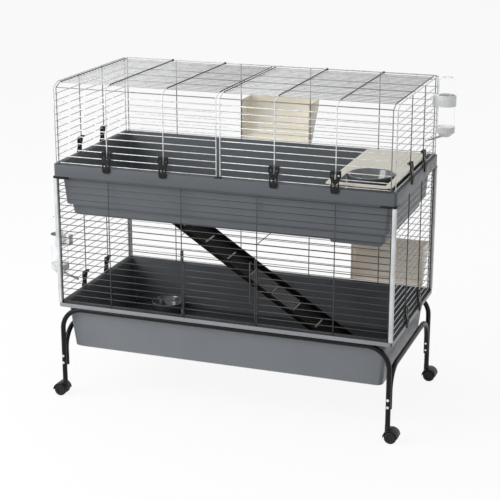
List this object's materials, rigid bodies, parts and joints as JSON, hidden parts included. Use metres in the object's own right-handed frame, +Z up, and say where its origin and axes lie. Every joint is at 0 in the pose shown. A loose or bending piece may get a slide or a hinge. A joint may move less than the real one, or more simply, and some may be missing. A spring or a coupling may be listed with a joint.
{
  "type": "two-storey rabbit cage",
  "caption": "Long two-storey wire rabbit cage with deep moulded trays, an inner ramp, lift-up doors and a tubular stand on castors.",
  "frame": {"origin": "on the floor, below the middle of the two trays", "axes": "+X along the cage to the right as seen from the front, +Y to the rear, +Z up"},
  "size_m": [1.3166, 0.6916, 1.1105],
  "materials": {
    "lower_tray": "fine moulded grain, grey",
    "upper_tray": "fine moulded grain, darker grey",
    "wire": "dark grey baked paint over drawn wire",
    "post": "satin light grey paint",
    "post_cap": "black moulding",
    "stand": "black powder coat",
    "bolt": "bright plated",
    "castor_frame": "black moulding",
    "castor_wheel": "black, slightly worn tread",
    "clip": "black moulding",
    "ramp": "black with a moulded grip",
    "tread": "light grey inserts",
    "shelter": "cream moulding",
    "bowl": "glossy dark grey",
    "upper_rack": "beige moulding",
    "lower_rack": "taupe moulding",
    "bottle": "clear moulded plastic",
    "bottle_cap": "grey cap with a bright tube",
    "bracket": "light grey moulding"
  },
  "bodies": {
    "cage": {"corner_post_front_left": "post", "corner_post_front_right": "post", "corner_post_rear_left": "post", "corner_post_rear_right": "post", "leg_bolts": "bolt", "lower_bottle": "bottle", "lower_bottle_bracket": "bracket", "lower_bottle_cap": "bottle_cap", "lower_front_grille": "wire", "lower_hay_rack": "lower_rack", "lower_left_grille": "wire", "lower_rear_grille": "wire", "lower_right_grille": "wire", "lower_tray": "lower_tray", "post_caps": "post_cap", "ramp_ears": "ramp", "stand_front_hoop": "stand", "stand_left_hoop": "stand", "stand_rear_hoop": "stand", "stand_right_hoop": "stand", "tray_support_wires": "wire", "upper_bottle": "bottle", "upper_bottle_bracket": "bracket", "upper_bottle_cap": "bottle_cap", "upper_hay_rack": "upper_rack", "upper_left_grille": "wire", "upper_rear_grille": "wire", "upper_right_grille": "wire", "upper_tray": "upper_tray"},
    "castor_front_left": {"castor_frame_front_left": "castor_frame"},
    "wheels_front_left": {"castor_wheels_front_left": "castor_wheel"},
    "castor_front_right": {"castor_frame_front_right": "castor_frame"},
    "wheels_front_right": {"castor_wheels_front_right": "castor_wheel"},
    "castor_rear_left": {"castor_frame_rear_left": "castor_frame"},
    "wheels_rear_left": {"castor_wheels_rear_left": "castor_wheel"},
    "castor_rear_right": {"castor_frame_rear_right": "castor_frame"},
    "wheels_rear_right": {"castor_wheels_rear_right": "castor_wheel"},
    "door_left": {"door_front_grille_left": "wire", "door_roof_grille_left": "wire"},
    "front_clip_left_inner": {"front_clip_left_inner": "clip"},
    "front_clip_left_outer": {"front_clip_left_outer": "clip"},
    "upper_left_clip_front": {"upper_left_clip_front": "clip"},
    "upper_left_clip_rear": {"upper_left_clip_rear": "clip"},
    "lower_left_clip_front": {"lower_left_clip_front": "clip"},
    "lower_left_clip_rear": {"lower_left_clip_rear": "clip"},
    "door_right": {"door_front_grille_right": "wire", "door_roof_grille_right": "wire"},
    "front_clip_right_inner": {"front_clip_right_inner": "clip"},
    "front_clip_right_outer": {"front_clip_right_outer": "clip"},
    "upper_right_clip_front": {"upper_right_clip_front": "clip"},
    "upper_right_clip_rear": {"upper_right_clip_rear": "clip"},
    "lower_right_clip_front": {"lower_right_clip_front": "clip"},
    "lower_right_clip_rear": {"lower_right_clip_rear": "clip"},
    "lower_door": {"lower_door_grille": "wire"},
    "door_latch": {"lower_door_latch": "wire"},
    "ramp": {"ramp": "ramp", "ramp_treads": "tread"},
    "shelter": {"shelter": "shelter"},
    "shelter_bowl": {"shelter_bowl": "bowl"},
    "floor_bowl": {"floor_bowl": "bowl"}
  },
  "joints": [
    {"name": "castor_swivel_front_left", "type": "hinge", "parent": "cage", "child": "castor_front_left", "pos_m": [-0.581, -0.282, 0.058], "axis": [0, 0, 1], "continuous": true},
    {"name": "wheel_spin_front_left", "type": "hinge", "parent": "castor_front_left", "child": "wheels_front_left", "pos_m": [-0.594, -0.282, 0.021], "axis": [0, 1, 0], "continuous": true},
    {"name": "castor_swivel_front_right", "type": "hinge", "parent": "cage", "child": "castor_front_right", "pos_m": [0.581, -0.282, 0.058], "axis": [0, 0, 1], "continuous": true},
    {"name": "wheel_spin_front_right", "type": "hinge", "parent": "castor_front_right", "child": "wheels_front_right", "pos_m": [0.594, -0.282, 0.021], "axis": [0, 1, 0], "continuous": true},
    {"name": "castor_swivel_rear_left", "type": "hinge", "parent": "cage", "child": "castor_rear_left", "pos_m": [-0.581, 0.282, 0.058], "axis": [0, 0, 1], "continuous": true},
    {"name": "wheel_spin_rear_left", "type": "hinge", "parent": "castor_rear_left", "child": "wheels_rear_left", "pos_m": [-0.594, 0.282, 0.021], "axis": [0, 1, 0], "continuous": true},
    {"name": "castor_swivel_rear_right", "type": "hinge", "parent": "cage", "child": "castor_rear_right", "pos_m": [0.581, 0.282, 0.058], "axis": [0, 0, 1], "continuous": true},
    {"name": "wheel_spin_rear_right", "type": "hinge", "parent": "castor_rear_right", "child": "wheels_rear_right", "pos_m": [0.594, 0.282, 0.021], "axis": [0, 1, 0], "continuous": true},
    {"name": "door_lift_left", "type": "hinge", "parent": "cage", "child": "door_left", "pos_m": [-0.3, 0.285, 1.105], "axis": [-1, 0, 0], "range_deg": [0, 105]},
    {"name": "front_clip_left_inner_swing", "type": "hinge", "parent": "door_left", "child": "front_clip_left_inner", "pos_m": [-0.19, -0.2821, 0.884], "axis": [-1, 0, 0], "range_deg": [0, 90]},
    {"name": "front_clip_left_outer_swing", "type": "hinge", "parent": "door_left", "child": "front_clip_left_outer", "pos_m": [-0.392, -0.2821, 0.884], "axis": [-1, 0, 0], "range_deg": [0, 90]},
    {"name": "upper_left_clip_front_swing", "type": "hinge", "parent": "cage", "child": "upper_left_clip_front", "pos_m": [-0.5796, -0.09, 0.884], "axis": [0, 1, 0], "range_deg": [0, 90]},
    {"name": "upper_left_clip_rear_swing", "type": "hinge", "parent": "cage", "child": "upper_left_clip_rear", "pos_m": [-0.5796, 0.09, 0.884], "axis": [0, 1, 0], "range_deg": [0, 90]},
    {"name": "lower_left_clip_front_swing", "type": "hinge", "parent": "cage", "child": "lower_left_clip_front", "pos_m": [-0.5796, -0.09, 0.39542], "axis": [0, 1, 0], "range_deg": [0, 90]},
    {"name": "lower_left_clip_rear_swing", "type": "hinge", "parent": "cage", "child": "lower_left_clip_rear", "pos_m": [-0.5796, 0.09, 0.39542], "axis": [0, 1, 0], "range_deg": [0, 90]},
    {"name": "door_lift_right", "type": "hinge", "parent": "cage", "child": "door_right", "pos_m": [0.3, 0.285, 1.105], "axis": [-1, 0, 0], "range_deg": [0, 105]},
    {"name": "front_clip_right_inner_swing", "type": "hinge", "parent": "door_right", "child": "front_clip_right_inner", "pos_m": [0.19, -0.2821, 0.884], "axis": [-1, 0, 0], "range_deg": [0, 90]},
    {"name": "front_clip_right_outer_swing", "type": "hinge", "parent": "door_right", "child": "front_clip_right_outer", "pos_m": [0.392, -0.2821, 0.884], "axis": [-1, 0, 0], "range_deg": [0, 90]},
    {"name": "upper_right_clip_front_swing", "type": "hinge", "parent": "cage", "child": "upper_right_clip_front", "pos_m": [0.5796, -0.09, 0.884], "axis": [0, -1, 0], "range_deg": [0, 90]},
    {"name": "upper_right_clip_rear_swing", "type": "hinge", "parent": "cage", "child": "upper_right_clip_rear", "pos_m": [0.5796, 0.09, 0.884], "axis": [0, -1, 0], "range_deg": [0, 90]},
    {"name": "lower_right_clip_front_swing", "type": "hinge", "parent": "cage", "child": "lower_right_clip_front", "pos_m": [0.5796, -0.09, 0.39542], "axis": [0, -1, 0], "range_deg": [0, 90]},
    {"name": "lower_right_clip_rear_swing", "type": "hinge", "parent": "cage", "child": "lower_right_clip_rear", "pos_m": [0.5796, 0.09, 0.39542], "axis": [0, -1, 0], "range_deg": [0, 90]},
    {"name": "lower_door_swing", "type": "hinge", "parent": "cage", "child": "lower_door", "pos_m": [-0.1315, -0.285, 0.47], "axis": [0, 0, -1], "range_deg": [0, 150]},
    {"name": "door_latch_lift", "type": "slide", "parent": "lower_door", "child": "door_latch", "axis": [0, 0, 1], "range_m": [0, 0.012]},
    {"name": "ramp_swing", "type": "hinge", "parent": "cage", "child": "ramp", "pos_m": [-0.306, 0, 0.641], "axis": [0, -1, 0], "range_deg": [0, 20]},
    {"name": "shelter_lift", "type": "slide", "parent": "cage", "child": "shelter", "axis": [0, 0, 1], "range_m": [0, 0.04]},
    {"name": "shelter_bowl_lift", "type": "slide", "parent": "shelter", "child": "shelter_bowl", "axis": [0, 0, 1], "range_m": [0, 0.08]},
    {"name": "floor_bowl_lift", "type": "slide", "parent": "cage", "child": "floor_bowl", "axis": [0, 0, 1], "range_m": [0, 0.08]}
  ]
}
